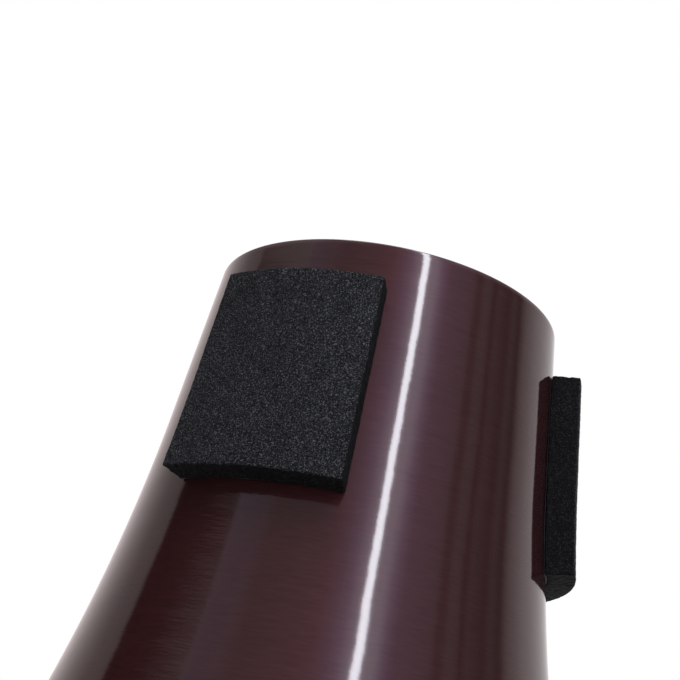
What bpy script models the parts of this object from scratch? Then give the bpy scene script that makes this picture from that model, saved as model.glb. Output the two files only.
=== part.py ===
"""Straight mute for a tenor trombone.

Two aluminium spinnings, a flared body and a round-shouldered end bowl, are
joined at the widest diameter by a rolled lock seam. Three foam pads on
adhesive sheets sit round the open neck, where the bell of the instrument
grips the mute. The part stands on the flat ring of its bowl, at z = 0, with
the open neck up along +Z. All lengths are in metres.
"""
import math

import bmesh
import bpy
from mathutils import Vector

# Both spinnings
WALL = 0.0008
CLEARANCE = 0.0003
CUT_EDGE_ROUNDING = 0.0003

# Body: outer line from the open rim down to the seam
RIM_RADIUS = 0.030
NECK_ANGLE = math.radians(5.7)
NECK_LENGTH = 0.0285
FLARE_RADIUS = 0.301
CONE_ANGLE = math.radians(16.0)
BELLY_RADIUS = 0.0625

# Rolled lock seam
SEAM_BEND_RADIUS = 0.0010
FLANGE_WIDTH = 0.0026
LIP_WIDTH = 0.0010
SEALANT_THICKNESS = 0.0005
SEALANT_WIDTH = 0.0018

# Bowl: outer line from the seam down to the foot
BOWL_TAPER = math.radians(8.0)
BOWL_DEPTH = 0.044
SHOULDER_RADIUS = 0.030
FOOT_WIDTH = 0.010
FOOT_BEND_RADIUS = 0.0018
RECESS_DEPTH = 0.0030
RECESS_ANGLE = math.radians(50.0)

# Foam pads and their adhesive sheets
PAD_COUNT = 3
PAD_FROM_RIM = 0.0086
PAD_LENGTH = 0.0345
PAD_GLUED_WIDTH = 0.0268
PAD_FACE_WIDTH = 0.0293
PAD_THICKNESS = 0.0040
PAD_EDGE_ROUNDING = 0.0004
SHEET_THICKNESS = 0.0003
SHEET_INSET = 0.0005

# Fineness of the facets
AROUND = 60
CHORD_ERROR = 0.00008
PAD_COLUMNS = 8
PAD_ROWS = 6
MERGE_DISTANCE = 0.00001

# Heights that follow from the sizes above
SEAM_GAP = SEALANT_THICKNESS + 2.0 * CLEARANCE
BOWL_FLANGE_TOP = BOWL_DEPTH + WALL
BODY_FLANGE_BOTTOM = BOWL_FLANGE_TOP + SEAM_GAP
BODY_FLANGE_TOP = BODY_FLANGE_BOTTOM + WALL
CURL_RADIUS = (SEAM_GAP + WALL + CLEARANCE) / 2.0 + WALL
CURL_CENTRE_RADIUS = BELLY_RADIUS + FLANGE_WIDTH
PAD_OFFSET = SHEET_THICKNESS + 2.0 * CLEARANCE


def flare_start():
    """Radius and drop below the rim where the flare leaves the neck."""
    radius = RIM_RADIUS + NECK_LENGTH * math.tan(NECK_ANGLE)
    return radius, NECK_LENGTH


def flare_end():
    """Radius and drop below the rim where the flare runs into the cone."""
    radius, drop = flare_start()
    radius += FLARE_RADIUS * (math.cos(NECK_ANGLE) - math.cos(CONE_ANGLE))
    drop += FLARE_RADIUS * (math.sin(CONE_ANGLE) - math.sin(NECK_ANGLE))
    return radius, drop


def body_height():
    """Drop from the rim to the top of the body's seam flange."""
    radius, drop = flare_end()
    return drop + (BELLY_RADIUS - radius) / math.tan(CONE_ANGLE)


RIM_HEIGHT = BODY_FLANGE_TOP + body_height()


def on_body(slant):
    """Radius, height and outward normal of the body at a slant distance
    below the rim, as (radius, height, normal in radius, normal in height)."""
    neck_slant = NECK_LENGTH / math.cos(NECK_ANGLE)
    flare_slant = FLARE_RADIUS * (CONE_ANGLE - NECK_ANGLE)
    if slant <= neck_slant:
        angle = NECK_ANGLE
        radius = RIM_RADIUS + slant * math.sin(angle)
        drop = slant * math.cos(angle)
    elif slant <= neck_slant + flare_slant:
        angle = NECK_ANGLE + (slant - neck_slant) / FLARE_RADIUS
        radius, drop = flare_start()
        radius += FLARE_RADIUS * (math.cos(NECK_ANGLE) - math.cos(angle))
        drop += FLARE_RADIUS * (math.sin(angle) - math.sin(NECK_ANGLE))
    else:
        angle = CONE_ANGLE
        radius, drop = flare_end()
        radius += (slant - neck_slant - flare_slant) * math.sin(angle)
        drop += (slant - neck_slant - flare_slant) * math.cos(angle)
    return radius, RIM_HEIGHT - drop, math.cos(angle), math.sin(angle)


def rounded_line(corners):
    """Points of a line in (radius, height) whose corners are arcs.

    Each corner is (radius, height, bend radius). The ends have no bend.
    """
    points = [Vector(corners[0][:2])]
    for before, corner, after in zip(corners, corners[1:], corners[2:]):
        here = Vector(corner[:2])
        bend = corner[2]
        back = (Vector(before[:2]) - here).normalized()
        ahead = (Vector(after[:2]) - here).normalized()
        turn = math.pi - back.angle(ahead)
        tangent = bend * math.tan(turn / 2.0)
        centre = here + (back + ahead).normalized() * bend / math.cos(turn / 2.0)
        first = here + back * tangent - centre
        side = math.copysign(1.0, first.cross(here + ahead * tangent - centre))
        steps = arc_steps(bend, turn)
        for step in range(steps + 1):
            angle = side * turn * step / steps
            points.append(centre + turned(first, angle))
    points.append(Vector(corners[-1][:2]))
    return points


def arc_steps(radius, turn):
    """Number of chords that keep an arc within the chord error."""
    chord_turn = 2.0 * math.acos(1.0 - CHORD_ERROR / radius)
    return max(3, math.ceil(turn / chord_turn))


def turned(vector, angle):
    """A 2D vector turned anticlockwise by an angle."""
    cosine = math.cos(angle)
    sine = math.sin(angle)
    return Vector((vector.x * cosine - vector.y * sine, vector.x * sine + vector.y * cosine))


def make_material(name, colour, metallic, roughness):
    """A plain Principled material."""
    material = bpy.data.materials.new(name)
    material.use_nodes = True
    shader = material.node_tree.nodes["Principled BSDF"]
    shader.inputs["Base Color"].default_value = (*colour, 1.0)
    shader.inputs["Metallic"].default_value = metallic
    shader.inputs["Roughness"].default_value = roughness
    return material


def add_object(name, mesh, collection, material):
    """Link a mesh as a named object with one material."""
    mesh.materials.append(material)
    part = bpy.data.objects.new(name, mesh)
    collection.objects.link(part)
    return part


def turned_mesh(name, points, closed=False):
    """A profile line in the XZ plane, ready for a Screw modifier."""
    mesh = bpy.data.meshes.new(name)
    edges = [(index, index + 1) for index in range(len(points) - 1)]
    if closed:
        edges.append((len(points) - 1, 0))
    mesh.from_pydata([(point.x, 0.0, point.y) for point in points], edges, [])
    return mesh


def add_screw(part):
    """Turn a profile once round the Z axis."""
    screw = part.modifiers.new("Turn", "SCREW")
    screw.steps = AROUND
    screw.render_steps = AROUND
    screw.use_merge_vertices = True
    screw.merge_threshold = MERGE_DISTANCE
    screw.use_smooth_shade = True


def add_spun_shell(name, points, collection, material):
    """A spinning: its outer line turned, given its wall and deburred."""
    part = add_object(name, turned_mesh(name, points), collection, material)
    add_screw(part)
    shell = part.modifiers.new("Wall", "SOLIDIFY")
    shell.thickness = WALL
    shell.offset = -1.0
    shell.use_even_offset = True
    deburr = part.modifiers.new("Deburred edges", "BEVEL")
    deburr.width = CUT_EDGE_ROUNDING
    deburr.segments = 2
    deburr.limit_method = "ANGLE"
    deburr.angle_limit = math.radians(70.0)
    return part


def body_line():
    """Outer line of the body: rim, neck, flare, cone and seam flange."""
    tangent = FLARE_RADIUS * math.tan((CONE_ANGLE - NECK_ANGLE) / 2.0)
    start_radius, start_drop = flare_start()
    flare_corner = (
        start_radius + tangent * math.sin(NECK_ANGLE),
        RIM_HEIGHT - start_drop - tangent * math.cos(NECK_ANGLE),
        FLARE_RADIUS,
    )
    return rounded_line([
        (RIM_RADIUS, RIM_HEIGHT),
        flare_corner,
        (BELLY_RADIUS, BODY_FLANGE_TOP, SEAM_BEND_RADIUS),
        (CURL_CENTRE_RADIUS, BODY_FLANGE_TOP),
    ])


def bowl_line():
    """Outer line of the bowl: lip, curl, flange, wall, shoulder and foot."""
    curl_height = BOWL_DEPTH + CURL_RADIUS
    lip_top = BOWL_DEPTH + 2.0 * CURL_RADIUS
    steps = arc_steps(CURL_RADIUS, math.pi)
    curl = []
    for step in range(steps + 1):
        angle = math.pi * (0.5 - step / steps)
        curl.append(Vector((
            CURL_CENTRE_RADIUS + CURL_RADIUS * math.cos(angle),
            curl_height + CURL_RADIUS * math.sin(angle),
        )))
    lip = Vector((CURL_CENTRE_RADIUS - LIP_WIDTH, lip_top))
    base_radius = BELLY_RADIUS - BOWL_DEPTH * math.tan(BOWL_TAPER)
    shoulder_turn = math.pi / 2.0 - BOWL_TAPER
    foot_outer = base_radius - SHOULDER_RADIUS * math.tan(shoulder_turn / 2.0)
    foot_inner = foot_outer - FOOT_WIDTH
    recess_radius = foot_inner - RECESS_DEPTH / math.tan(RECESS_ANGLE)
    below_seam = rounded_line([
        (CURL_CENTRE_RADIUS, BOWL_DEPTH),
        (BELLY_RADIUS, BOWL_DEPTH, SEAM_BEND_RADIUS),
        (base_radius, 0.0, SHOULDER_RADIUS),
        (foot_inner, 0.0, FOOT_BEND_RADIUS),
        (recess_radius, RECESS_DEPTH, FOOT_BEND_RADIUS),
        (0.0, RECESS_DEPTH),
    ])
    return [lip] + curl + below_seam[1:]


def sealant_section():
    """Square section of the bead between the two seam flanges."""
    outer = CURL_CENTRE_RADIUS
    inner = outer - SEALANT_WIDTH
    bottom = BOWL_FLANGE_TOP + CLEARANCE
    top = bottom + SEALANT_THICKNESS
    return [
        Vector((inner, top)),
        Vector((outer, top)),
        Vector((outer, bottom)),
        Vector((inner, bottom)),
    ]


def wrapped_block(name, angle, offset, thickness, margin, widths):
    """A flat block of sheet wrapped on the neck, centred on an angle.

    offset is the height of its lower side above the wall, margin is what
    it loses at every edge, and widths are its glued and its face width.
    """
    middle_radius = on_body(PAD_FROM_RIM + PAD_LENGTH / 2.0)[0]
    half_angles = (
        (widths[0] / 2.0 - margin) / middle_radius,
        (widths[1] / 2.0 - margin) / (middle_radius + PAD_OFFSET + PAD_THICKNESS),
    )
    block = bmesh.new()
    bmesh.ops.create_grid(block, x_segments=PAD_COLUMNS, y_segments=PAD_ROWS, size=0.5)
    raised = bmesh.ops.extrude_face_region(block, geom=block.faces[:])["geom"]
    upper = [item for item in raised if isinstance(item, bmesh.types.BMVert)]
    bmesh.ops.translate(block, verts=upper, vec=(0.0, 0.0, 1.0))
    bmesh.ops.recalc_face_normals(block, faces=block.faces[:])
    for vertex in block.verts:
        across, along, up = vertex.co
        slant = PAD_FROM_RIM + margin + (0.5 - along) * (PAD_LENGTH - 2.0 * margin)
        radius, height, out, rise = on_body(slant)
        lift = offset + up * thickness
        half_angle = half_angles[0] + up * (half_angles[1] - half_angles[0])
        turn = angle + 2.0 * across * half_angle
        radius += lift * out
        vertex.co = (radius * math.cos(turn), radius * math.sin(turn), height + lift * rise)
    mesh = bpy.data.meshes.new(name)
    block.to_mesh(mesh)
    block.free()
    return mesh


def add_pad(number, collection, foam, adhesive):
    """One foam pad and the adhesive sheet that holds it on the neck."""
    angle = -math.pi / 2.0 + 2.0 * math.pi * (number - 1) / PAD_COUNT
    glued = (PAD_GLUED_WIDTH, PAD_GLUED_WIDTH)
    name = f"pad_adhesive_{number}"
    sheet = wrapped_block(name, angle, CLEARANCE, SHEET_THICKNESS, SHEET_INSET, glued)
    add_object(name, sheet, collection, adhesive)
    name = f"foam_pad_{number}"
    widths = (PAD_GLUED_WIDTH, PAD_FACE_WIDTH)
    pad = wrapped_block(name, angle, PAD_OFFSET, PAD_THICKNESS, 0.0, widths)
    part = add_object(name, pad, collection, foam)
    softened = part.modifiers.new("Cut edges", "BEVEL")
    softened.width = PAD_EDGE_ROUNDING
    softened.segments = 2
    softened.limit_method = "ANGLE"
    softened.angle_limit = math.radians(50.0)


def main():
    """Build the mute."""
    for old in list(bpy.data.objects):
        bpy.data.objects.remove(old)
    collection = bpy.data.collections.new("straight_mute")
    bpy.context.scene.collection.children.link(collection)
    aluminium = make_material("wine_anodised_aluminium", (0.085, 0.030, 0.036), 1.0, 0.28)
    foam = make_material("black_closed_cell_foam", (0.010, 0.010, 0.011), 0.0, 0.85)
    adhesive = make_material("black_adhesive", (0.015, 0.015, 0.015), 0.0, 0.55)
    sealant = make_material("grey_seam_sealant", (0.25, 0.24, 0.22), 0.0, 0.6)
    add_spun_shell("body_cone", body_line(), collection, aluminium)
    add_spun_shell("end_bowl", bowl_line(), collection, aluminium)
    section = turned_mesh("seam_sealant", sealant_section(), closed=True)
    add_screw(add_object("seam_sealant", section, collection, sealant))
    for number in range(1, PAD_COUNT + 1):
        add_pad(number, collection, foam, adhesive)


main()
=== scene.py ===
import math

import bmesh
import bpy
import numpy as np
from mathutils import Matrix, Vector


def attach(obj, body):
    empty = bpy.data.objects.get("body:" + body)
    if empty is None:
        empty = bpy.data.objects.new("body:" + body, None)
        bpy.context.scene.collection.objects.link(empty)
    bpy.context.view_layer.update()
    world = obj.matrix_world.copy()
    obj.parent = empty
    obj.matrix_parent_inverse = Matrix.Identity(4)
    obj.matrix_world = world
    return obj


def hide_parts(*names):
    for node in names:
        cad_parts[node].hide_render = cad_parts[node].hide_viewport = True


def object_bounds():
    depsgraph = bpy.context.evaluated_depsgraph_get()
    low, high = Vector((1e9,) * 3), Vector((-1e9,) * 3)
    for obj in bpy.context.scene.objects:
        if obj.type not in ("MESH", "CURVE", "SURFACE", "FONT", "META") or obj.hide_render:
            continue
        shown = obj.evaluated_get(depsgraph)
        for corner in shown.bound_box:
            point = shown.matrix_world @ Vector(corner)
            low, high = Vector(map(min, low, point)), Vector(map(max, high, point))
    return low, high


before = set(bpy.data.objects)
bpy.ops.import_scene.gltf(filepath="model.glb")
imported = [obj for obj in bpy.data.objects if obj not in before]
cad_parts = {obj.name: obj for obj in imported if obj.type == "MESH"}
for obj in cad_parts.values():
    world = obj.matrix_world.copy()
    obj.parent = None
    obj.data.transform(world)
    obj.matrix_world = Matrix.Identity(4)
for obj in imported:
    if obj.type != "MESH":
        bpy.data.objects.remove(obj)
cadBox = [list(corner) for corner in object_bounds()]
rimHeight = cadBox[1][2]
print("frame loaded")


# Shared helpers

def linearColour(code):
    # sRGB hex to linear: c / 12.92 up to 0.04045, else ((c + 0.055) / 1.055) ^ 2.4.
    values = [int(code[i:i + 2], 16) / 255.0 for i in (1, 3, 5)]
    linear = [v / 12.92 if v <= 0.04045 else ((v + 0.055) / 1.055) ** 2.4 for v in values]
    return (*linear, 1.0)


def addNode(tree, kind, values=None, links=None, **settings):
    # One node with its settings, its socket values and what is linked into it.
    node = tree.nodes.new(kind)
    for name, value in settings.items():
        setattr(node, name, value)
    for socket, value in (values or {}).items():
        node.inputs[socket].default_value = value
    for socket, source in (links or {}).items():
        tree.links.new(source, node.inputs[socket])
    return node


def newMaterial(name):
    # An empty node material with its Principled shader and its output.
    material = bpy.data.materials.new(name)
    material.use_nodes = True
    tree = material.node_tree
    tree.nodes.clear()
    shader = addNode(tree, "ShaderNodeBsdfPrincipled")
    addNode(tree, "ShaderNodeOutputMaterial", links={"Surface": shader.outputs["BSDF"]})
    return material, tree, shader


def unit(vector):
    # vector / |vector|
    return vector / np.linalg.norm(vector)


def latticeNoise(points, cell, seed):
    # Smooth noise: the 8 corner values of a random lattice, each weighted by
    # the product over the axes of f or 1 - f, where f = t t (3 - 2 t).
    size = 64
    lattice = np.random.default_rng(seed).uniform(-1.0, 1.0, (size, size, size))
    scaled = points / cell
    low = np.floor(scaled).astype(np.int64)
    part = scaled - low
    part = part * part * (3.0 - 2.0 * part)
    total = np.zeros(len(points))
    for corner in np.ndindex(2, 2, 2):
        weight = np.prod(np.where(np.array(corner), part, 1.0 - part), axis=1)
        index = (low + np.array(corner)) % size
        total += weight * lattice[index[:, 0], index[:, 1], index[:, 2]]
    return total


def finishPiece(name, points, faces, material, node):
    # A mesh from arrays, its normals outward, riding on the root body.
    mesh = bpy.data.meshes.new(name)
    mesh.from_pydata(points.tolist(), [], faces)
    work = bmesh.new()
    work.from_mesh(mesh)
    bmesh.ops.recalc_face_normals(work, faces=work.faces[:])
    work.to_mesh(mesh)
    work.free()
    mesh.polygons.foreach_set("use_smooth", np.ones(len(mesh.polygons), bool))
    mesh.materials.append(material)
    piece = bpy.data.objects.new(name, mesh)
    bpy.context.scene.collection.objects.link(piece)
    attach(piece, "root")
    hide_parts(node)
    return piece


# Camera, low beside the mute and looking up at the neck

cameraSettings = {
    "distance": 0.236,  # from the axis
    "belowRim": 0.09642,
    "bearing": 24.8,  # degrees from -Y towards +X
    "yaw": -1.7785,
    "pitch": 20.9069,
    "roll": 12.1835,
    "lens": 75.41,  # mm
    "sensor": 36.0,  # mm wide
    "clipStart": 0.01,
}


def makeCamera(settings):
    # forward = (sin yaw cos pitch, cos yaw cos pitch, sin pitch), then the
    # whole is turned by the bearing about Z and the roll about forward.
    yaw, pitch, roll, bearing = [
        math.radians(settings[key]) for key in ("yaw", "pitch", "roll", "bearing")
    ]
    forward = Vector((
        math.sin(yaw) * math.cos(pitch),
        math.cos(yaw) * math.cos(pitch),
        math.sin(pitch),
    ))
    level = Vector((math.cos(yaw), -math.sin(yaw), 0.0))
    upright = level.cross(forward)
    right = level * math.cos(roll) + upright * math.sin(roll)
    up = upright * math.cos(roll) - level * math.sin(roll)
    axes = Matrix((right, up, -forward)).transposed()
    turn = Matrix.Rotation(bearing, 3, "Z")
    place = turn @ Vector((0.0, -settings["distance"], 0.0))
    place.z = rimHeight - settings["belowRim"]
    data = bpy.data.cameras.new("photoCamera")
    data.lens = settings["lens"]
    data.sensor_width = settings["sensor"]
    data.clip_start = settings["clipStart"]
    camera = bpy.data.objects.new("photoCamera", data)
    camera.matrix_world = Matrix.Translation(place) @ (turn @ axes).to_4x4()
    bpy.context.scene.collection.objects.link(camera)
    bpy.context.scene.camera = camera


makeCamera(cameraSettings)
bpy.context.scene.view_settings.view_transform = "Standard"
print("camera set")


# Studio: a white surround behind, darker walls with soft panels in front

studio = {
    "bearing": cameraSettings["bearing"],
    "ambient": 0.32,  # even light on matt surfaces
    # degrees from the camera's side, how bright the wall is there, and its share of blue
    "walls": [
        (-180, 1.00, 1.00), (-146, 0.92, 1.00), (-118, 0.50, 1.00), (-106, 0.48, 1.00),
        (-63, 0.60, 1.00), (-60, 0.46, 1.30), (-45, 0.38, 1.15), (-38, 0.28, 1.00),
        (-4, 0.32, 1.10), (4, 0.52, 1.40), (10, 0.90, 1.45), (14, 1.60, 1.25),
        (27, 2.00, 1.20), (32, 0.90, 1.50), (37, 0.48, 1.40), (46, 0.43, 1.28),
        (56, 0.39, 1.12), (59, 0.16, 1.00), (62, 0.18, 1.00), (65, 0.36, 1.00),
        (70, 0.32, 1.00), (73, 0.10, 1.00), (77, 0.26, 1.00), (87, 0.12, 1.00),
        (92, 0.24, 1.00), (99, 0.10, 1.00), (102, 0.34, 1.02), (106, 0.58, 1.02),
        (119, 0.84, 1.02), (180, 1.00, 1.00),
    ],
    "roseFrom": 100.0,  # degrees past which the walls are slightly rose
    "roseShare": 0.87,  # green and blue left there
    "flag": (-105.0, -62.0, 30.0),  # dark panel: from, to, and its top in elevation
    "flagSideEdge": 0.02,  # half width of its soft edges, in radians
    "flagTopEdge": 0.05,
    "flagLight": 0.04,  # share of light that it gives back
}


def makeWorld(settings):
    # Camera rays see white, glossy rays see the studio walls by direction,
    # and diffuse rays get an even soft light.
    world = bpy.data.worlds.new("studioWorld")
    bpy.context.scene.world = world
    world.use_nodes = True
    world.cycles.sampling_method = "NONE"
    tree = world.node_tree
    tree.nodes.clear()
    direction = addNode(tree, "ShaderNodeTexCoord").outputs["Generated"]
    turned = addNode(
        tree, "ShaderNodeVectorRotate", {"Angle": -math.radians(settings["bearing"])},
        {"Vector": direction}, rotation_type="Z_AXIS",
    )
    parts = addNode(tree, "ShaderNodeSeparateXYZ", links={"Vector": turned.outputs["Vector"]})
    back = addNode(
        tree, "ShaderNodeMath", {1: -1.0}, {0: parts.outputs["Y"]}, operation="MULTIPLY",
    )
    azimuth = addNode(
        tree, "ShaderNodeMath", links={0: parts.outputs["X"], 1: back.outputs[0]},
        operation="ARCTAN2",
    )
    share = addNode(
        tree, "ShaderNodeMapRange", {"From Min": -math.pi, "From Max": math.pi},
        {"Value": azimuth.outputs[0]},
    )
    walls = addNode(tree, "ShaderNodeValToRGB", links={"Fac": share.outputs["Result"]})
    ramp = walls.color_ramp
    for index, (angle, level, blue) in enumerate(settings["walls"]):
        place = (angle + 180.0) / 360.0
        stop = ramp.elements[0] if index == 0 else ramp.elements.new(place)
        cool = settings["roseShare"] if abs(angle) > settings["roseFrom"] else 1.0
        stop.position = place
        stop.color = (level, level * cool, level * cool * blue, 1.0)
    ramp.elements.remove(ramp.elements[-1])  # the ramp's own white end
    height = addNode(
        tree, "ShaderNodeMath", links={0: parts.outputs["Z"]}, operation="ARCSINE",
    )
    flagFrom, flagTo, flagTop = [math.radians(value) for value in settings["flag"]]
    side, top = settings["flagSideEdge"], settings["flagTopEdge"]
    afterLeft = addNode(
        tree, "ShaderNodeMapRange", {"From Min": flagFrom - side, "From Max": flagFrom + side},
        {"Value": azimuth.outputs[0]},
    )
    beforeRight = addNode(
        tree, "ShaderNodeMapRange",
        {"From Min": flagTo - side, "From Max": flagTo + side, "To Min": 1.0, "To Max": 0.0},
        {"Value": azimuth.outputs[0]},
    )
    underTop = addNode(
        tree, "ShaderNodeMapRange",
        {"From Min": flagTop - top, "From Max": flagTop + top, "To Min": 1.0, "To Max": 0.0},
        {"Value": height.outputs[0]},
    )
    between = addNode(
        tree, "ShaderNodeMath", links={0: afterLeft.outputs[0], 1: beforeRight.outputs[0]},
        operation="MULTIPLY",
    )
    flag = addNode(
        tree, "ShaderNodeMath", links={0: between.outputs[0], 1: underTop.outputs[0]},
        operation="MULTIPLY",
    )
    lit = addNode(
        tree, "ShaderNodeMapRange", {"To Min": 1.0, "To Max": settings["flagLight"]},
        {"Value": flag.outputs[0]},
    )
    path = addNode(tree, "ShaderNodeLightPath")
    glossy = addNode(
        tree, "ShaderNodeMath",
        links={0: path.outputs["Is Glossy Ray"], 1: path.outputs["Is Transmission Ray"]},
        operation="MAXIMUM",
    )
    wallShader = addNode(
        tree, "ShaderNodeBackground",
        links={"Color": walls.outputs["Color"], "Strength": lit.outputs["Result"]},
    )
    softShader = addNode(
        tree, "ShaderNodeBackground", {"Color": (1, 1, 1, 1), "Strength": settings["ambient"]},
    )
    whiteShader = addNode(
        tree, "ShaderNodeBackground", {"Color": (1, 1, 1, 1), "Strength": 1.0},
    )
    seen = addNode(
        tree, "ShaderNodeMixShader",
        links={0: glossy.outputs[0], 1: softShader.outputs[0], 2: wallShader.outputs[0]},
    )
    final = addNode(
        tree, "ShaderNodeMixShader",
        links={0: path.outputs["Is Camera Ray"], 1: seen.outputs[0], 2: whiteShader.outputs[0]},
    )
    addNode(tree, "ShaderNodeOutputWorld", links={"Surface": final.outputs[0]})


# Angles in degrees from the camera's front and above the level, sizes in metres, power in watts
lamps = {
    "strip": {
        "azimuth": 43.9,
        "elevation": 36.0,
        "distance": 1.2,
        "size": (0.075, 1.7),
        "power": 7.6,
        "colour": "#f6f7ff",
        "aim": 0.75,  # share of the rim height that it faces
    },
    "topBox": {
        "azimuth": 10.0,
        "elevation": 66.0,
        "distance": 1.3,
        "size": (0.9, 0.7),
        "power": 4.2,
        "colour": "#ffffff",
        "aim": 0.75,
    },
}


def makeLamp(name, settings):
    # An area lamp on a sphere round the neck, facing it:
    # place = target + distance (sin a cos e, -cos a cos e, sin e).
    azimuth = math.radians(settings["azimuth"])
    elevation = math.radians(settings["elevation"])
    target = Vector((0.0, 0.0, rimHeight * settings["aim"]))
    away = Vector((
        math.sin(azimuth) * math.cos(elevation),
        -math.cos(azimuth) * math.cos(elevation),
        math.sin(elevation),
    ))
    data = bpy.data.lights.new(name, "AREA")
    data.shape = "RECTANGLE"
    data.size, data.size_y = settings["size"]
    data.energy = settings["power"]
    data.color = linearColour(settings["colour"])[:3]
    lamp = bpy.data.objects.new(name, data)
    lamp.location = target + away * settings["distance"]
    lamp.rotation_euler = away.to_track_quat("Z", "Y").to_euler()
    lamp.visible_camera = False
    bpy.context.scene.collection.objects.link(lamp)


floorBoard = {
    "reach": 6.0,
    "level": -0.0003,  # just under the foot ring
    "colour": "#ececec",
    "white": {"From Min": 0.35, "From Max": 1.1, "To Min": 0.6},  # by distance from the mute
}


def makeFloor(settings):
    # A pale floor that keeps its shadow and fades to white away from the mute:
    # white share = 0.6 + 0.4 smoothstep of the distance from 0.35 m to 1.1 m.
    reach, level = settings["reach"], settings["level"]
    mesh = bpy.data.meshes.new("floor")
    corners = [(-reach, -reach), (reach, -reach), (reach, reach), (-reach, reach)]
    mesh.from_pydata([(x, y, level) for x, y in corners], [], [(0, 1, 2, 3)])
    material = bpy.data.materials.new("mattWhiteFloorBoard")  # painted board: even, no gloss
    material.use_nodes = True
    tree = material.node_tree
    tree.nodes.clear()
    spot = addNode(tree, "ShaderNodeTexCoord").outputs["Object"]
    distance = addNode(tree, "ShaderNodeVectorMath", links={0: spot}, operation="LENGTH")
    fade = addNode(
        tree, "ShaderNodeMapRange", settings["white"], {"Value": distance.outputs["Value"]},
        interpolation_type="SMOOTHSTEP",
    )
    path = addNode(tree, "ShaderNodeLightPath")
    seen = addNode(
        tree, "ShaderNodeMath",
        links={0: path.outputs["Is Camera Ray"], 1: path.outputs["Is Glossy Ray"]},
        operation="MAXIMUM",
    )
    seenThrough = addNode(
        tree, "ShaderNodeMath",
        links={0: seen.outputs[0], 1: path.outputs["Is Transmission Ray"]},
        operation="MAXIMUM",
    )
    share = addNode(
        tree, "ShaderNodeMath", links={0: seenThrough.outputs[0], 1: fade.outputs["Result"]},
        operation="MULTIPLY",
    )
    board = addNode(tree, "ShaderNodeBsdfDiffuse", {"Color": linearColour(settings["colour"])})
    white = addNode(tree, "ShaderNodeEmission", {"Strength": 1.0})
    mix = addNode(
        tree, "ShaderNodeMixShader",
        links={0: share.outputs[0], 1: board.outputs[0], 2: white.outputs[0]},
    )
    addNode(tree, "ShaderNodeOutputMaterial", links={"Surface": mix.outputs[0]})
    mesh.materials.append(material)
    floor = bpy.data.objects.new("floor", mesh)
    bpy.context.scene.collection.objects.link(floor)


makeWorld(studio)
for lampName, lampSettings in lamps.items():
    makeLamp(lampName, lampSettings)
makeFloor(floorBoard)
print("studio lit")


# Wine anodised aluminium: spun, finely turned, dyed dark and sealed to a clear gloss

aluminium = {
    "wine": "#391d1f",  # the dyed metal where it reflects white
    "wineLight": "#462628",
    "worn": "#8a7072",  # dye thinned along the rim
    "edgeTint": "#8a5458",
    "metallic": 0.6,  # the dyed oxide scatters as well as reflects
    "roughness": {"From Min": 0.3, "From Max": 0.7, "To Min": 0.53, "To Max": 0.64},
    "anisotropy": 0.3,
    "anisotropyTurn": 0.25,  # highlights stretch across the lines
    "coatRoughness": 0.08,
    "coatIor": 1.5,
    # such turned lines lie about 0.1 mm apart, too fine to show, so these are drawn coarser
    "lineSpacing": 0.00036,
    "lineLength": 0.0028,
    "lineDepth": 0.000008,
    "coarseSpacing": 0.0011,
    "coarseLength": 0.05,
    "coarseShare": 0.5,
    "cloudSpacing": 0.022,
    "cloudLength": 0.0352,
    "waveSpacing": 0.0050,  # low waves left by the spinning roller
    "waveLength": 0.0085,
    "waveDepth": 0.00003,
    "noiseRoughness": 0.55,
    "tone": {"From Min": 0.45, "From Max": 1.05, "To Min": 0.15, "To Max": 0.85},
    "rubbed": {"From Min": 0.40, "From Max": 0.62, "To Max": 0.7},
    "wornBand": (0.0009, 0.0001),  # wear starts and is full this far below the rim
}


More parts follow.
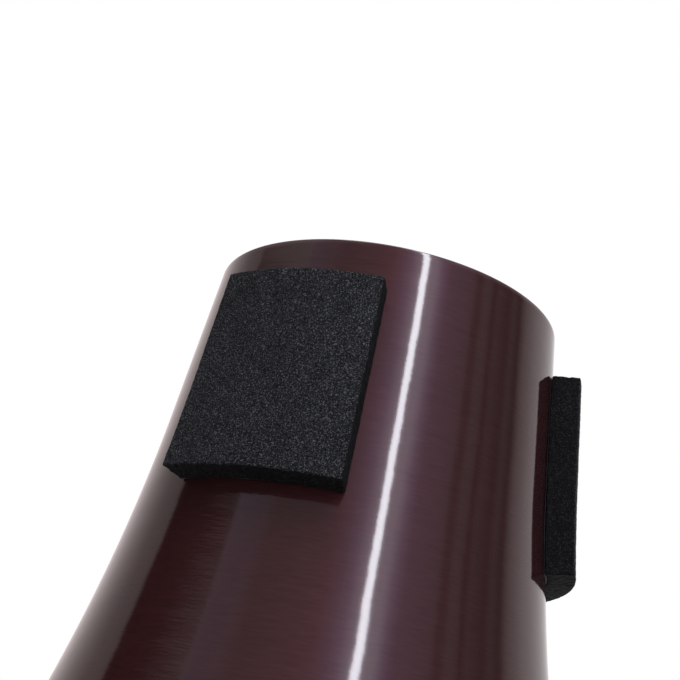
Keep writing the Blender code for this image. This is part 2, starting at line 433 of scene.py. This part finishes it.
def makeAluminium(settings):
    # Dark wine metal under a clear sealed layer. The turned lines give a soft
    # sheen across them, and low waves make sharp reflections wander a little.
    material, tree, shader = newMaterial("wineAnodisedSpunAluminium")
    place = addNode(tree, "ShaderNodeTexCoord").outputs["Object"]

    def lines(spacing, length, detail):
        # Noise stretched to the length across Z and to the spacing along it.
        scaled = addNode(
            tree, "ShaderNodeMapping",
            {"Scale": (1.0 / length, 1.0 / length, 1.0 / spacing)}, {"Vector": place},
        )
        return addNode(
            tree, "ShaderNodeTexNoise",
            {"Scale": 1.0, "Detail": detail, "Roughness": settings["noiseRoughness"]},
            {"Vector": scaled.outputs["Vector"]},
        ).outputs["Fac"]

    fine = lines(settings["lineSpacing"], settings["lineLength"], 1.0)
    coarse = lines(settings["coarseSpacing"], settings["coarseLength"], 2.0)
    cloud = lines(settings["cloudSpacing"], settings["cloudLength"], 3.0)
    waves = lines(settings["waveSpacing"], settings["waveLength"], 1.0)
    streaks = addNode(
        tree, "ShaderNodeMath", {1: settings["coarseShare"]}, {0: coarse, 2: fine},
        operation="MULTIPLY_ADD",
    )
    tone = addNode(
        tree, "ShaderNodeMapRange", settings["tone"], {"Value": streaks.outputs[0]},
    )
    dyed = addNode(
        tree, "ShaderNodeMix",
        {6: linearColour(settings["wine"]), 7: linearColour(settings["wineLight"])},
        {0: tone.outputs["Result"]}, data_type="RGBA",
    )
    parts = addNode(tree, "ShaderNodeSeparateXYZ", links={"Vector": place})
    wearFrom, wearFull = settings["wornBand"]
    nearRim = addNode(
        tree, "ShaderNodeMapRange",
        {"From Min": rimHeight - wearFrom, "From Max": rimHeight - wearFull},
        {"Value": parts.outputs["Z"]},
    )
    rubbed = addNode(tree, "ShaderNodeMapRange", settings["rubbed"], {"Value": cloud})
    wear = addNode(
        tree, "ShaderNodeMath", links={0: nearRim.outputs[0], 1: rubbed.outputs[0]},
        operation="MULTIPLY",
    )
    colour = addNode(
        tree, "ShaderNodeMix", {7: linearColour(settings["worn"])},
        {0: wear.outputs[0], 6: dyed.outputs[2]}, data_type="RGBA",
    )
    tree.links.new(colour.outputs[2], shader.inputs["Base Color"])
    uneven = addNode(tree, "ShaderNodeMapRange", settings["roughness"], {"Value": cloud})
    tree.links.new(uneven.outputs["Result"], shader.inputs["Roughness"])
    shader.inputs["Metallic"].default_value = settings["metallic"]
    shader.inputs["Specular IOR Level"].default_value = 0.0
    shader.inputs["Anisotropic"].default_value = settings["anisotropy"]
    shader.inputs["Anisotropic Rotation"].default_value = settings["anisotropyTurn"]
    shader.inputs["Specular Tint"].default_value = linearColour(settings["edgeTint"])
    shader.inputs["Coat Weight"].default_value = 1.0
    shader.inputs["Coat Roughness"].default_value = settings["coatRoughness"]
    shader.inputs["Coat IOR"].default_value = settings["coatIor"]
    turned = addNode(
        tree, "ShaderNodeBump", {"Strength": 1.0, "Distance": settings["lineDepth"]},
        {"Height": fine},
    )
    tree.links.new(turned.outputs["Normal"], shader.inputs["Normal"])
    waved = addNode(
        tree, "ShaderNodeBump", {"Strength": 1.0, "Distance": settings["waveDepth"]},
        {"Height": waves, "Normal": turned.outputs["Normal"]},
    )
    tree.links.new(waved.outputs["Normal"], shader.inputs["Coat Normal"])
    return material


# Profiles: lines in (radius, height) with arcs at their corners, then a wall

spinning = {
    "wall": 0.0008,
    "edgeRadius": 0.0003,  # deburred edges
    "edgePoints": 6,
    "leastArcSteps": 6,
    "onAxis": 1e-7,
    # waviness: share, waves round the axis, radians per metre of height, and start
    "waves": ((1.0, 3.0, 55.0, 0.0), (0.6, 7.0, -210.0, 1.0)),
    "rings": (0.15, 1500.0, 2.0, 2.0),  # share, radians per metre, sway, and sways round
    "fullWaves": 0.02,  # radius from which the waviness is full
}


def roundedLine(corners, spacing):
    # Corners (r, z, bend) joined by straights and tangent arcs. An arc is
    # centre + bend (cos t, sin t), t swept evenly, and a straight is a + s (b - a).
    pieces = [np.array([corners[0][:2]])]
    for before, corner, after in zip(corners, corners[1:], corners[2:]):
        here, bend = np.array(corner[:2]), corner[2]
        back = unit(np.array(before[:2]) - here)
        ahead = unit(np.array(after[:2]) - here)
        turn = math.pi - math.acos(np.clip(back @ ahead, -1.0, 1.0))
        tangent = bend * math.tan(turn / 2.0)
        centre = here + unit(back + ahead) * bend / math.cos(turn / 2.0)
        first = here + back * tangent - centre
        last = here + ahead * tangent - centre
        start = math.atan2(first[1], first[0])
        side = math.copysign(1.0, first[0] * last[1] - first[1] * last[0])
        count = max(spinning["leastArcSteps"], int(turn * bend / spacing))
        sweep = start + side * turn * np.linspace(0.0, 1.0, count + 1)
        pieces.append(centre + bend * np.stack([np.cos(sweep), np.sin(sweep)], 1))
    pieces.append(np.array([corners[-1][:2]]))
    line = [pieces[0]]
    for one in pieces[1:]:
        gap = one[0] - line[-1][-1]
        count = max(1, int(np.linalg.norm(gap) / spacing))
        share = np.linspace(0.0, 1.0, count + 1)[1:, None]
        line.append(line[-1][-1] + share * gap)
        line.append(one[1:])
    return np.concatenate(line)


def lineNormals(line):
    # Unit normals: the tangent (dr, dz) turned a quarter to (-dz, dr).
    tangent = np.gradient(line, axis=0)
    tangent /= np.linalg.norm(tangent, axis=1)[:, None]
    return np.stack([-tangent[:, 1], tangent[:, 0]], 1)


def roundedEnd(point, tangent, normal):
    # Deburred end of a wall: two quarter arcs from the outer to the inner side.
    wall, radius = spinning["wall"], spinning["edgeRadius"]
    quarter = np.linspace(0.0, math.pi / 2.0, spinning["edgePoints"])[:, None]
    outer = point - normal * radius - tangent * radius
    inner = point - normal * (wall - radius) - tangent * radius
    first = outer + radius * (np.cos(quarter) * normal + np.sin(quarter) * tangent)
    second = inner + radius * (np.sin(quarter) * -normal + np.cos(quarter) * tangent)
    return np.concatenate([first, second])


def spin(profile, closed, around, ripple):
    # point(i, j) = ((r_j + w) cos a_i, (r_j + w) sin a_i, z_j), where w is the
    # slight waviness of a spinning. Points on the axis become single poles.
    onAxis = profile[:, 0] < spinning["onAxis"]
    ring = profile[~onAxis]
    angle = 2.0 * math.pi * np.arange(around)[:, None] / around
    radius = np.repeat(ring[None, :, 0], around, 0)
    height = np.repeat(ring[None, :, 1], around, 0)
    wave = sum(
        share * np.sin(count * angle + rate * height + start)
        for share, count, rate, start in spinning["waves"]
    )
    share, rate, sway, swayCount = spinning["rings"]
    wave = wave + share * np.sin(rate * height + sway * np.sin(swayCount * angle))
    radius = radius + ripple * wave * np.minimum(1.0, radius / spinning["fullWaves"])
    points = np.stack([radius * np.cos(angle), radius * np.sin(angle), height], 2).reshape(-1, 3)
    length = len(ring)
    rows = np.arange(around)[:, None] * length
    following = (np.arange(around)[:, None] + 1) % around * length
    span = np.arange(length if closed else length - 1)[None, :]
    ahead = (span + 1) % length
    faces = np.stack([
        rows + span, following + span, following + ahead, rows + ahead,
    ], 2).reshape(-1, 4).tolist()
    if not closed:
        poles = [[0.0, 0.0, height] for height in profile[onAxis][[0, -1], 1]]
        for pole, edge in ((around * length, 0), (around * length + 1, length - 1)):
            fan = [rows[:, 0] + edge, following[:, 0] + edge, np.full(around, pole)]
            faces += np.stack(fan, 1).tolist()
        points = np.concatenate([points, np.array(poles)])
    return points, faces


# Rolled lock seam between the body and the bowl

seam = {
    "bellyRadius": 0.0625,  # where both walls meet the seam
    "bend": 0.0010,
    "flangeWidth": 0.0026,
    "lipWidth": 0.0010,
    "sealant": 0.0005,
    "clearance": 0.0003,
}
seamGap = seam["sealant"] + 2.0 * seam["clearance"]

body = {
    "rimRadius": 0.030,
    "neckAngle": math.radians(5.7),
    "neckLength": 0.0285,
    "flareRadius": 0.301,
    "coneAngle": math.radians(16.0),
    "around": 320,
    "ripple": 0.000010,
    "outerSpacing": 0.0010,
    "innerSpacing": 0.0030,
}

bowl = {
    "taper": math.radians(8.0),
    "depth": 0.044,
    "shoulderRadius": 0.030,
    "footWidth": 0.010,
    "footBend": 0.0018,
    "recessDepth": 0.0030,
    "recessAngle": math.radians(50.0),
    "curlPoints": 17,
    "around": 320,
    "ripple": 0.000006,
    "outerSpacing": 0.0010,
    "innerSpacing": 0.0020,
}


def makeBody(settings, material):
    # Neck, flare, cone and seam flange: straight, arc of flareRadius, straight,
    # then a sharp bend outwards. The wall lies inside the line.
    neck = settings["neckAngle"]
    startRadius = settings["rimRadius"] + settings["neckLength"] * math.tan(neck)
    tangent = settings["flareRadius"] * math.tan((settings["coneAngle"] - neck) / 2.0)
    flangeTop = bowl["depth"] + 2.0 * spinning["wall"] + seamGap
    corners = [
        (settings["rimRadius"], rimHeight),
        (
            startRadius + tangent * math.sin(neck),
            rimHeight - settings["neckLength"] - tangent * math.cos(neck),
            settings["flareRadius"],
        ),
        (seam["bellyRadius"], flangeTop, seam["bend"]),
        (seam["bellyRadius"] + seam["flangeWidth"], flangeTop),
    ]
    outer = roundedLine(corners, settings["outerSpacing"])
    outerNormal = lineNormals(outer)
    inner = roundedLine(corners, settings["innerSpacing"])
    inner = inner - lineNormals(inner) * spinning["wall"]
    rimEnd = roundedEnd(outer[0], unit(outer[0] - outer[1]), outerNormal[0])
    flangeEnd = roundedEnd(outer[-1], unit(outer[-1] - outer[-2]), outerNormal[-1])
    loop = np.concatenate([outer[1:-1], flangeEnd, inner[::-1][1:-1], rimEnd[::-1]])
    points, faces = spin(loop, True, settings["around"], settings["ripple"])
    finishPiece("turnedBody", points, faces, material, "body_cone")


def makeBowl(settings, material):
    # Lip, half circle of the curl, flange, tapered side, shoulder, foot ring
    # and raised middle, closed on the axis. The wall lies inside the line.
    wall, depth = spinning["wall"], settings["depth"]
    curlCentre = seam["bellyRadius"] + seam["flangeWidth"]
    curl = (seamGap + wall + seam["clearance"]) / 2.0 + wall
    baseRadius = seam["bellyRadius"] - depth * math.tan(settings["taper"])
    shoulderTurn = math.pi / 2.0 - settings["taper"]
    footOuter = baseRadius - settings["shoulderRadius"] * math.tan(shoulderTurn / 2.0)
    footInner = footOuter - settings["footWidth"]
    recess = footInner - settings["recessDepth"] / math.tan(settings["recessAngle"])
    sweep = math.pi * (0.5 - np.linspace(0.0, 1.0, settings["curlPoints"]))
    curlLine = np.stack([
        curlCentre + curl * np.cos(sweep), depth + curl + curl * np.sin(sweep),
    ], 1)
    lip = np.array([[curlCentre - seam["lipWidth"], depth + 2.0 * curl]])

    def fullLine(spacing):
        # Lip and curl, then the bowl as straights and tangent arcs.
        below = roundedLine([
            (curlCentre, depth),
            (seam["bellyRadius"], depth, seam["bend"]),
            (baseRadius, 0.0, settings["shoulderRadius"]),
            (footInner, 0.0, settings["footBend"]),
            (recess, settings["recessDepth"], settings["footBend"]),
            (0.0, settings["recessDepth"]),
        ], spacing)
        return np.concatenate([lip, curlLine, below[1:]])

    outer = fullLine(settings["outerSpacing"])
    inner = fullLine(settings["innerSpacing"])
    inner = inner - lineNormals(inner) * wall
    inner[-1, 0] = 0.0  # closed on the axis
    lipEnd = roundedEnd(outer[0], unit(outer[0] - outer[1]), lineNormals(outer)[0])
    profile = np.concatenate([outer[::-1][:-1], lipEnd, inner[1:]])
    points, faces = spin(profile, False, settings["around"], settings["ripple"])
    finishPiece("turnedBowl", points, faces, material, "end_bowl")


wineAluminium = makeAluminium(aluminium)
makeBody(body, wineAluminium)
makeBowl(bowl, wineAluminium)
print("body and bowl spun")


# Foam pads: die-cut closed-cell foam, glued round the neck

foam = {
    "dark": "#0b0b0d",
    "light": "#242528",
    "fleck": "#606267",
    "shades": (0.40, 0.56, 0.68),  # where in the noise each colour is full
    "cutShadeShare": 0.25,  # cut sides darkened: partly their open cells, partly painted shade
    "grain": 0.00020,  # such foam has cells 0.1 to 0.3 mm wide
    "grainRoughness": 0.6,
    "patch": 0.006,
    "patchTone": {"From Min": 0.3, "From Max": 0.7, "To Min": 0.82, "To Max": 1.15},
    "roughness": {"To Min": 0.88, "To Max": 0.68},
    "specular": 0.1,
    "reliefStrength": 0.9,
    "relief": 0.00004,
}


def makeFoam(settings):
    # Black foam with a skin of fine cells: matt, speckled, with the cut sides darkened partly for
    # their open cells and partly by painted shade.
    material, tree, shader = newMaterial("blackClosedCellFoam")
    place = addNode(tree, "ShaderNodeTexCoord").outputs["Object"]
    cells = addNode(
        tree, "ShaderNodeTexNoise",
        {"Scale": 1.0 / settings["grain"], "Detail": 2.0, "Roughness": settings["grainRoughness"]},
        {"Vector": place},
    )
    patches = addNode(
        tree, "ShaderNodeTexNoise", {"Scale": 1.0 / settings["patch"], "Detail": 3.0},
        {"Vector": place},
    )
    speckle = addNode(tree, "ShaderNodeValToRGB", links={"Fac": cells.outputs["Fac"]})
    ramp = speckle.color_ramp
    darkAt, lightAt, fleckAt = settings["shades"]
    ramp.elements[0].position = darkAt
    ramp.elements[0].color = linearColour(settings["dark"])
    ramp.elements[1].position = lightAt
    ramp.elements[1].color = linearColour(settings["light"])
    ramp.elements.new(fleckAt).color = linearColour(settings["fleck"])
    cut = addNode(tree, "ShaderNodeAttribute", attribute_name="cutSide")
    # cut sides darkened to a quarter: partly their open cells, partly painted shade
    shade = addNode(
        tree, "ShaderNodeMapRange", {"To Min": 1.0, "To Max": settings["cutShadeShare"]},
        {"Value": cut.outputs["Fac"]},
    )
    cloudy = addNode(
        tree, "ShaderNodeMapRange", settings["patchTone"], {"Value": patches.outputs["Fac"]},
    )
    level = addNode(
        tree, "ShaderNodeMath", links={0: shade.outputs[0], 1: cloudy.outputs[0]},
        operation="MULTIPLY",
    )
    colour = addNode(
        tree, "ShaderNodeVectorMath",
        links={0: speckle.outputs["Color"], "Scale": level.outputs[0]}, operation="SCALE",
    )
    tree.links.new(colour.outputs[0], shader.inputs["Base Color"])
    matt = addNode(
        tree, "ShaderNodeMapRange", settings["roughness"], {"Value": cells.outputs["Fac"]},
    )
    tree.links.new(matt.outputs["Result"], shader.inputs["Roughness"])
    shader.inputs["Specular IOR Level"].default_value = settings["specular"]
    relief = addNode(
        tree, "ShaderNodeBump",
        {"Strength": settings["reliefStrength"], "Distance": settings["relief"]},
        {"Height": cells.outputs["Fac"]},
    )
    tree.links.new(relief.outputs["Normal"], shader.inputs["Normal"])
    return material


tape = {
    "dark": "#0d0d0e",
    "light": "#1c1c1d",
    "blotch": 0.0008,
    "roughness": 0.5,
    "reliefStrength": 0.4,
    "relief": 0.00003,
    "inset": 0.00022,  # from the glued edge of the pad
    "bottom": 0.00003,  # heights above the wall
    "top": 0.00016,
    "spacing": 0.0006,
}


def makeTapeFinish(settings):
    # Black acrylic tape: smooth and faintly uneven where it is squeezed out.
    material, tree, shader = newMaterial("blackAcrylicTape")
    place = addNode(tree, "ShaderNodeTexCoord").outputs["Object"]
    blotches = addNode(
        tree, "ShaderNodeTexNoise", {"Scale": 1.0 / settings["blotch"], "Detail": 2.0},
        {"Vector": place},
    )
    mix = addNode(
        tree, "ShaderNodeMix",
        {6: linearColour(settings["dark"]), 7: linearColour(settings["light"])},
        {0: blotches.outputs["Fac"]}, data_type="RGBA",
    )
    tree.links.new(mix.outputs[2], shader.inputs["Base Color"])
    shader.inputs["Roughness"].default_value = settings["roughness"]
    relief = addNode(
        tree, "ShaderNodeBump",
        {"Strength": settings["reliefStrength"], "Distance": settings["relief"]},
        {"Height": blotches.outputs["Fac"]},
    )
    tree.links.new(relief.outputs["Normal"], shader.inputs["Normal"])
    return material


pads = {
    "count": 3,
    "fromRim": 0.0086,
    "length": 0.0345,
    "gluedWidth": 0.0268,
    "faceWidth": 0.0293,
    "bottom": 0.00020,  # heights above the wall
    "top": 0.00490,
    "edge": 0.00028,
    "spacing": 0.00021,
    # the relief is drawn coarser than the real cells, so that the mesh can show it
    "grainCells": (0.00042, 0.0011),
    "grainSeeds": (11, 12),
    "coarseShare": 0.5,
    "grainDepth": 0.000045,
    "tornCell": 0.00062,
    "tornSeed": 13,
    "tornMost": 0.2,
    "cutDepth": 0.00013,
    "cutGrain": 0.4,
    "cutBack": 0.4,
    "broadCell": 0.007,
    "broadSeed": 14,
    "broadDepth": 0.00004,
    "noiseShift": 0.05,  # from pad to pad
}


def onNeck(slant, lift):
    # Radius and height at a slant distance below the rim and a lift off the wall:
    # angle = neck + (s - neckSlant) / flareRadius past the neck, radius and drop
    # by integrating sin and cos of it, then lift along (cos angle, sin angle).
    neck, bend = body["neckAngle"], body["flareRadius"]
    neckSlant = body["neckLength"] / math.cos(neck)
    straight = np.minimum(slant, neckSlant)
    angle = neck + np.maximum(slant - neckSlant, 0.0) / bend
    radius = body["rimRadius"] + straight * math.sin(neck) + bend * (math.cos(neck) - np.cos(angle))
    drop = straight * math.cos(neck) + bend * (np.sin(angle) - math.sin(neck))
    return radius + lift * np.cos(angle), rimHeight - drop + lift * np.sin(angle)


def blockSurface(size, spacing):
    # The six sides of a block as grids over [-1/2, 1/2] cubed, welded where
    # they meet. Each axis has length / spacing steps, and two at least.
    counts = [max(2, int(round(length / spacing))) for length in size]
    steps = [np.linspace(-0.5, 0.5, count + 1) for count in counts]
    points, quads, offset = [], [], 0
    for flat in range(3):
        first, second = [axis for axis in range(3) if axis != flat]
        u, v = np.meshgrid(steps[first], steps[second], indexing="ij")
        index = np.arange(u.size).reshape(u.shape)
        quad = np.stack([index[:-1, :-1], index[1:, :-1], index[1:, 1:], index[:-1, 1:]], 2)
        for side in (-0.5, 0.5):
            grid = np.empty((u.size, 3))
            grid[:, first], grid[:, second], grid[:, flat] = u.ravel(), v.ravel(), side
            points.append(grid)
            quads.append(quad.reshape(-1, 4) + offset)
            offset += u.size
    points, quads = np.concatenate(points), np.concatenate(quads)
    weld = 1e-6  # points closer than this share of the block are one
    keys = np.round(points / weld).astype(np.int64)
    _, firstIndex, inverse = np.unique(keys, axis=0, return_index=True, return_inverse=True)
    return points[firstIndex], inverse.reshape(-1)[quads]


def wrapBlock(block, angle, bottom, top, margin, widths):
    # x across, y towards the rim and z off the wall, wrapped on the neck:
    # turn = angle + 2 x halfAngle(z), place = onNeck(slant(y), lift(z)).
    toMiddle = pads["fromRim"] + pads["length"] / 2.0
    middle = body["rimRadius"] + toMiddle * math.sin(body["neckAngle"])
    share = block[:, 2] + 0.5
    half = (widths[0] / 2.0 - margin) / middle
    halfTop = (widths[1] / 2.0 - margin) / (middle + pads["top"])
    halfAngle = half + share * (halfTop - half)
    slant = pads["fromRim"] + margin + (0.5 - block[:, 1]) * (pads["length"] - 2.0 * margin)
    lift = bottom + share * (top - bottom)
    radius, height = onNeck(slant, lift)
    turn = angle + 2.0 * block[:, 0] * halfAngle
    return np.stack([radius * np.cos(turn), radius * np.sin(turn), height], 1)


def padAngle(number):
    # The first pad faces -Y, and the others follow by equal turns.
    return -math.pi / 2.0 + 2.0 * math.pi * (number - 1) / pads["count"]


def makePad(number, settings, material):
    # A block with edges rounded by q = clamp(p) + edge unit(p - clamp(p)) and
    # grain moved along its own normal, wrapped on the neck.
    size = np.array([
        settings["faceWidth"], settings["length"], settings["top"] - settings["bottom"],
    ])
    block, quads = blockSurface(size, settings["spacing"])
    real = block * size
    limit = size / 2.0 - settings["edge"]
    core = np.clip(real, -limit, limit)
    out = real - core
    out /= np.linalg.norm(out, axis=1)[:, None]
    cut = 1.0 - np.abs(out[:, 2]) ** 2  # 0 on the face, 1 on the cut sides
    moved = real + settings["noiseShift"] * number
    fine, coarse = [
        latticeNoise(moved, cell, seed)
        for cell, seed in zip(settings["grainCells"], settings["grainSeeds"])
    ]
    grain = fine + settings["coarseShare"] * coarse
    torn = latticeNoise(moved, settings["tornCell"], settings["tornSeed"])
    torn = np.minimum(settings["tornMost"], torn)
    broad = latticeNoise(moved, settings["broadCell"], settings["broadSeed"])
    ragged = torn + settings["cutGrain"] * grain - settings["cutBack"]
    depth = settings["grainDepth"] * grain * (1.0 - cut) + settings["cutDepth"] * ragged * cut
    lift = settings["edge"] + depth + settings["broadDepth"] * broad
    points = wrapBlock(
        (core + out * lift[:, None]) / size, padAngle(number), settings["bottom"],
        settings["top"], 0.0, (settings["gluedWidth"], settings["faceWidth"]),
    )
    piece = finishPiece(
        f"foamPad{number}", points, quads.tolist(), material, f"foam_pad_{number}",
    )
    # the cut-side mask also places the foam's painted shade
    layer = piece.data.attributes.new("cutSide", "FLOAT", "POINT")
    layer.data.foreach_set("value", cut.astype(np.float32))


def makeTape(number, settings, material):
    # A thin plain block in from the glued edges of its pad, wrapped the same way.
    width = pads["gluedWidth"]
    size = (width, pads["length"], settings["top"] - settings["bottom"])
    block, quads = blockSurface(size, settings["spacing"])
    points = wrapBlock(
        block, padAngle(number), settings["bottom"], settings["top"], settings["inset"],
        (width, width),
    )
    finishPiece(
        f"padTape{number}", points, quads.tolist(), material, f"pad_adhesive_{number}",
    )


foamMaterial = makeFoam(foam)
tapeMaterial = makeTapeFinish(tape)
for padNumber in range(1, pads["count"] + 1):
    makePad(padNumber, pads, foamMaterial)
    makeTape(padNumber, tape, tapeMaterial)
print("pads made")


# Sealant in the seam: the CAD bead stays and gets its finish

sealant = {
    "dark": "#7d7b76",
    "light": "#8f8d88",
    "blotch": 0.002,
    "roughness": 0.6,
}


def makeSealant(settings):
    # Grey silicone sealant: soft matt, slightly blotchy where it cured.
    material, tree, shader = newMaterial("greySiliconeSealant")
    place = addNode(tree, "ShaderNodeTexCoord").outputs["Object"]
    blotches = addNode(
        tree, "ShaderNodeTexNoise", {"Scale": 1.0 / settings["blotch"], "Detail": 3.0},
        {"Vector": place},
    )
    mix = addNode(
        tree, "ShaderNodeMix",
        {6: linearColour(settings["dark"]), 7: linearColour(settings["light"])},
        {0: blotches.outputs["Fac"]}, data_type="RGBA",
    )
    tree.links.new(mix.outputs[2], shader.inputs["Base Color"])
    shader.inputs["Roughness"].default_value = settings["roughness"]
    return material


sealantMaterial = makeSealant(sealant)
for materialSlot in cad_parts["seam_sealant"].material_slots:
    materialSlot.material = sealantMaterial
print("sealant finished")
